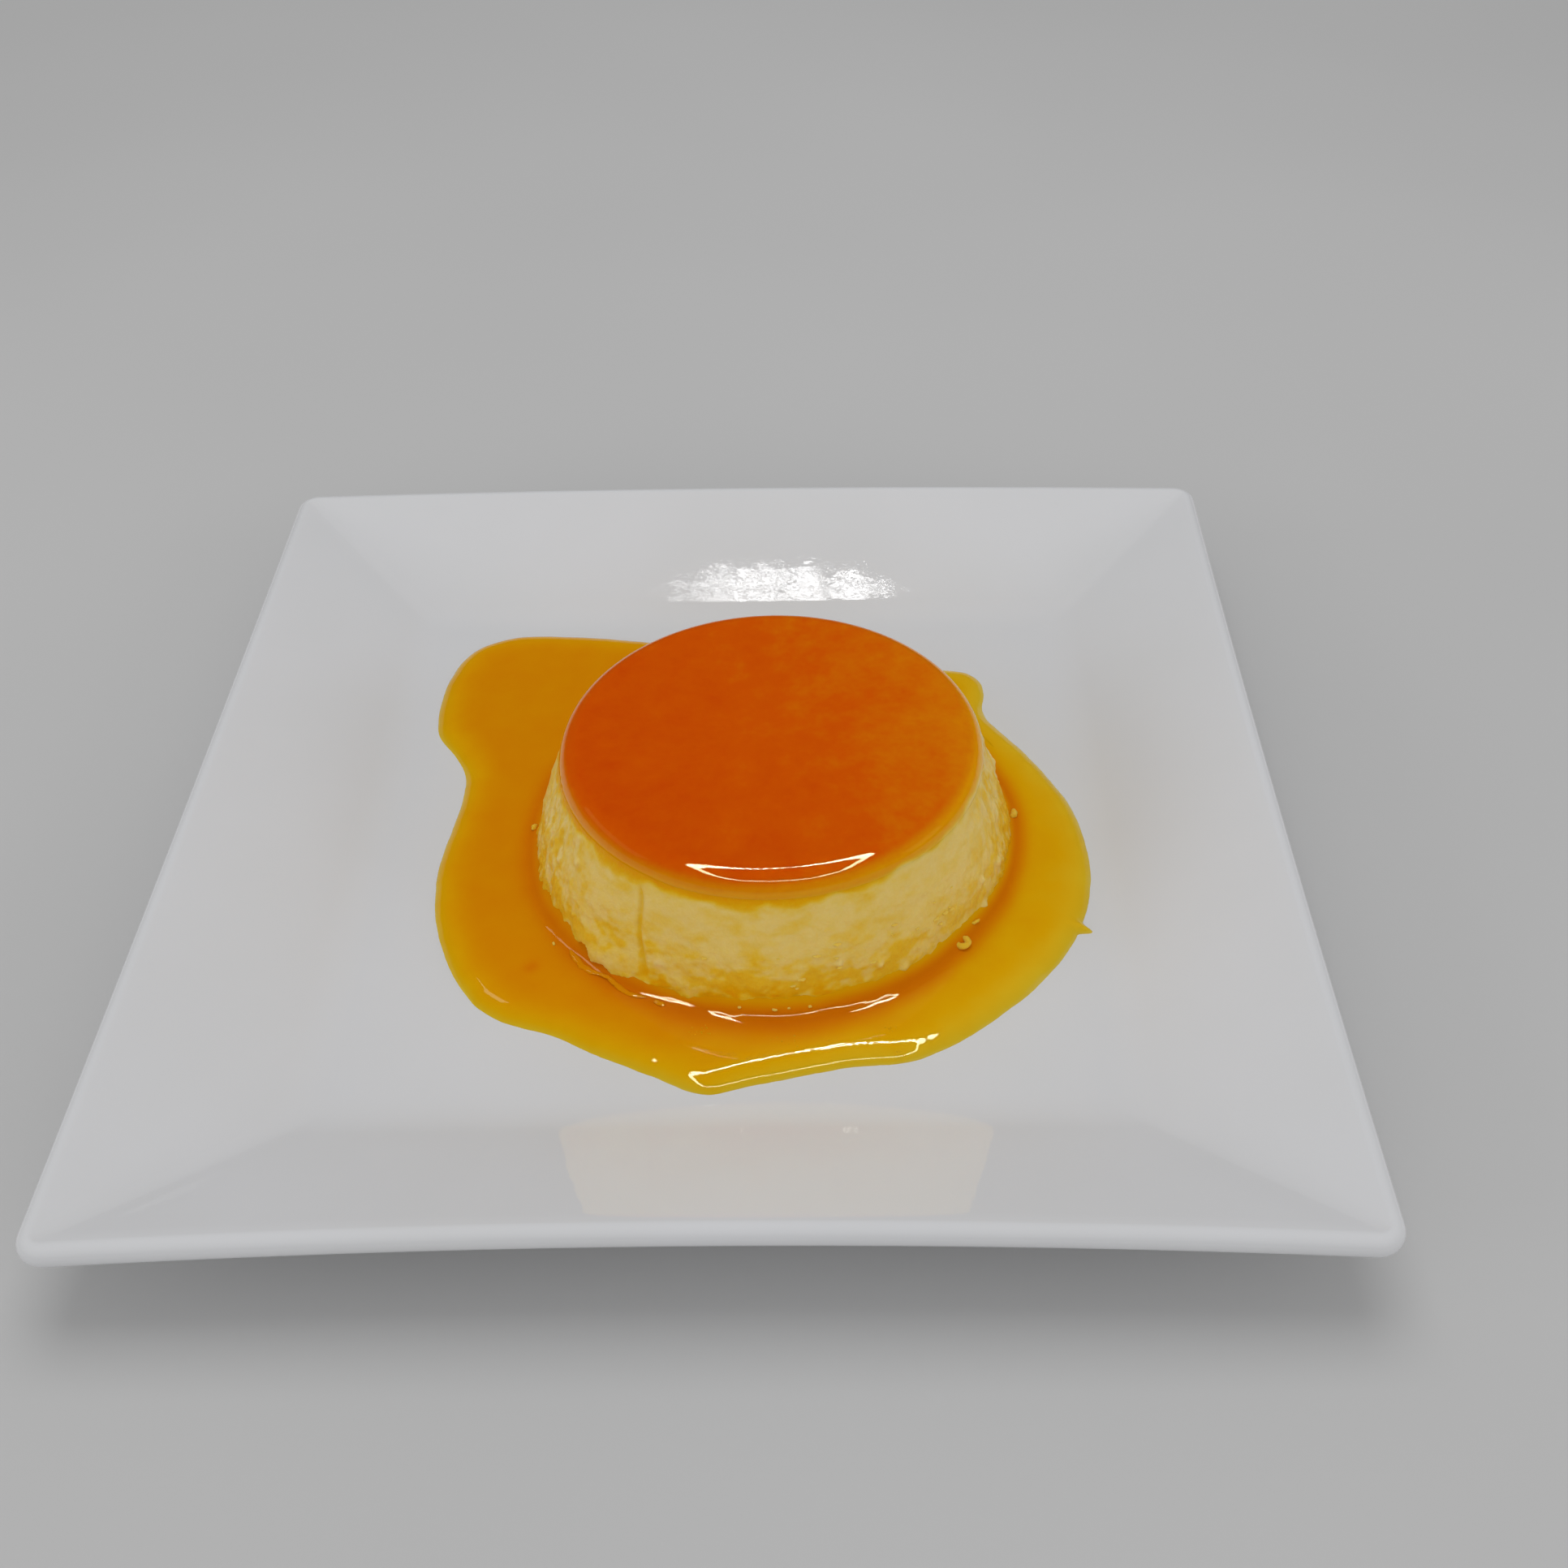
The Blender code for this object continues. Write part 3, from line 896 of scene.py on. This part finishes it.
def strip(name, start, end, height, thick, radiance, lit, beads=0):
    """A straight strip light between two points, facing down, broken into beads if told."""
    start, end = Vector((*start, height)), Vector((*end, height))
    lamp = soft_box(name, (start + end) / 2, (0, 0, 0), (1, 1), 1, False, lit)
    run = end - start
    lamp.rotation_euler = (0, 0, math.atan2(run.y, run.x))
    data = lamp.data
    data.size, data.size_y = run.length, thick
    data.energy = radiance * math.pi * run.length * thick
    if beads:
        nodes = Nodes(data)
        split = nodes.add("SeparateXYZ")
        nodes.link(nodes.face_place((beads, 1)), split.inputs["Vector"])
        slant = beads * thick / run.length * run.y / run.x  # so that each gap runs along Y
        leant = nodes.math("MULTIPLY", split.outputs["Y"], slant)
        along = nodes.math("SUBTRACT", split.outputs["X"], leant)
        turn = nodes.math("PINGPONG", along, 0.5)
        nodes.glow(turn, 0.16, 0.34, 0.06, 2.2)


PATCHES = (21, 19)  # of the dappled light, along and across


def dapple(lamp):
    """Breaks a light into patches that thin out towards its rim."""
    nodes = Nodes(lamp.data)
    patches = nodes.add("TexNoise")
    patches.inputs["Scale"].default_value = 1
    patches.inputs["Detail"].default_value = 8
    patches.inputs["Roughness"].default_value = 0.7
    nodes.link(nodes.face_place(PATCHES), patches.inputs["Vector"])
    away = nodes.add("VectorMath", operation="DISTANCE")
    nodes.link(nodes.face_place((1, 1)), away.inputs[0])
    away.inputs[1].default_value = (0.5, 0.5, 0)
    thin = nodes.math("POWER", nodes.math("MULTIPLY", away.outputs["Value"], 1.6), 4)
    nodes.glow(nodes.math("SUBTRACT", patches.outputs["Fac"], thin), 0.462, 0.545, 0, 2.0)


def make_lights(plate, dry, top, pool):
    middle = (0, 0, 0)
    for name, place, size, radiance in (
        ("overhead", (0, 0.21, 0.95), (0.7, 0.7), 1.65),
        ("front_fill", (0, -1.1, 0.5), (1.2, 0.5), 0.5),
        ("left_fill", (-1.1, -0.45, 0.42), (0.8, 0.5), 1.5),
        ("right_fill", (1.1, -0.45, 0.42), (0.8, 0.5), 1.32),
    ):
        soft_box(name, place, middle, size, radiance).visible_glossy = False
    for side in (-1, 1):
        place = (0.8 * side, -0.8, 0.45)
        fill = soft_box(f"wall_fill_{side}", place, middle, (0.8, 0.5), 0.32, lit=dry)
        fill.visible_glossy = False
    warm = (1, 0.72, 0.3)
    soft_box("left_side", (-1.0, -0.02, 0.60), middle, (0.8, 0.3), 0.8, False, dry, warm)
    soft_box("right_side", (1.0, -0.2, 0.32), middle, (0.4, 0.3), 0.8, False, dry, warm)
    soft_box("left_glow", (-0.23, 0.16, 0.40), middle, (0.10, 0.08), 4, False, pool)
    place, behind = (0.024, 0.110, 0.40), (0.024, 1.05, 0.06)
    dapple(soft_box("glare", place, behind, (0.235, 0.125), 10, False, plate))
    light_frame("top", top, 30, 34, 46)
    light_frame("pool", pool, 22, 32, 38)


def light_frame(name, lit, front, sides, beads):
    """A frame of lights overhead, whose far end is a row of beads that runs to a point.
    front, sides and beads are how bright those parts of it are."""
    high, thick, count = 0.40, 0.028, 23
    left, right, far, near = (-0.141, -0.04), (0.162, 0.01), (0.009, 0.236), -0.29
    corners = (left, (-0.148, -0.20), (-0.11, near), (0.15, near), (0.20, -0.20), right)
    for number, (start, end) in enumerate(zip(corners, corners[1:])):
        radiance = front if start[1] == end[1] else sides
        strip(f"{name}_strip_{number}", start, end, high, thick, radiance, lit)
    strip(f"{name}_beads_left", left, far, high, thick, beads, lit, count)
    strip(f"{name}_beads_right", far, right, high, thick, beads, lit, count)


def make_world():
    world = bpy.data.worlds.new("studio")
    bpy.context.scene.world = world
    world.use_nodes = True
    tree = world.node_tree
    shade = tree.nodes["Background"]
    shade.inputs["Color"].default_value = (1, 1, 1, 1)
    ray = tree.nodes.new("ShaderNodeLightPath")
    level = tree.nodes.new("ShaderNodeMapRange")
    level.inputs["To Min"].default_value = ROOM_LIGHT
    level.inputs["To Max"].default_value = ROOM_MIRRORED
    tree.links.new(ray.outputs["Is Glossy Ray"], level.inputs["Value"])
    tree.links.new(level.outputs["Result"], shade.inputs["Strength"])


def make_floor():
    nodes = Nodes(bpy.data.materials.new("pale_floor"))
    tints = ((0.3, (0.60, 0.60, 0.60)), (0.7, (0.63, 0.63, 0.63)))
    nodes.link(nodes.ramp(nodes.noise(0.25, 2), tints), nodes.shader.inputs["Base Color"])
    nodes.set(roughness=0.7)
    mesh = bpy.data.meshes.new("floor")
    work = bmesh.new()
    bmesh.ops.create_grid(work, x_segments=2, y_segments=2, size=FLOOR_HALF)
    work.to_mesh(mesh)
    work.free()
    mesh.materials.append(nodes.owner)
    floor = bpy.data.objects.new("floor", mesh)
    bpy.context.scene.collection.objects.link(floor)


bpy.context.scene.view_settings.view_transform = "Standard"
make_camera()
make_world()
make_floor()
plate = make_plate()
custard_skin, syrup_skin = custard_finish(), sauce_finish()
custard = [make_custard(custard_skin), make_crumbs(custard_skin)]
top = [make_caramel_top()]
pool = [make_sauce(syrup_skin), make_shreds(syrup_skin), make_bubbles(syrup_skin)]
make_lights(
    group("lit_plate", [plate]),
    group("lit_dry", custard + top),
    group("lit_top", top),
    group("lit_pool", pool),
)
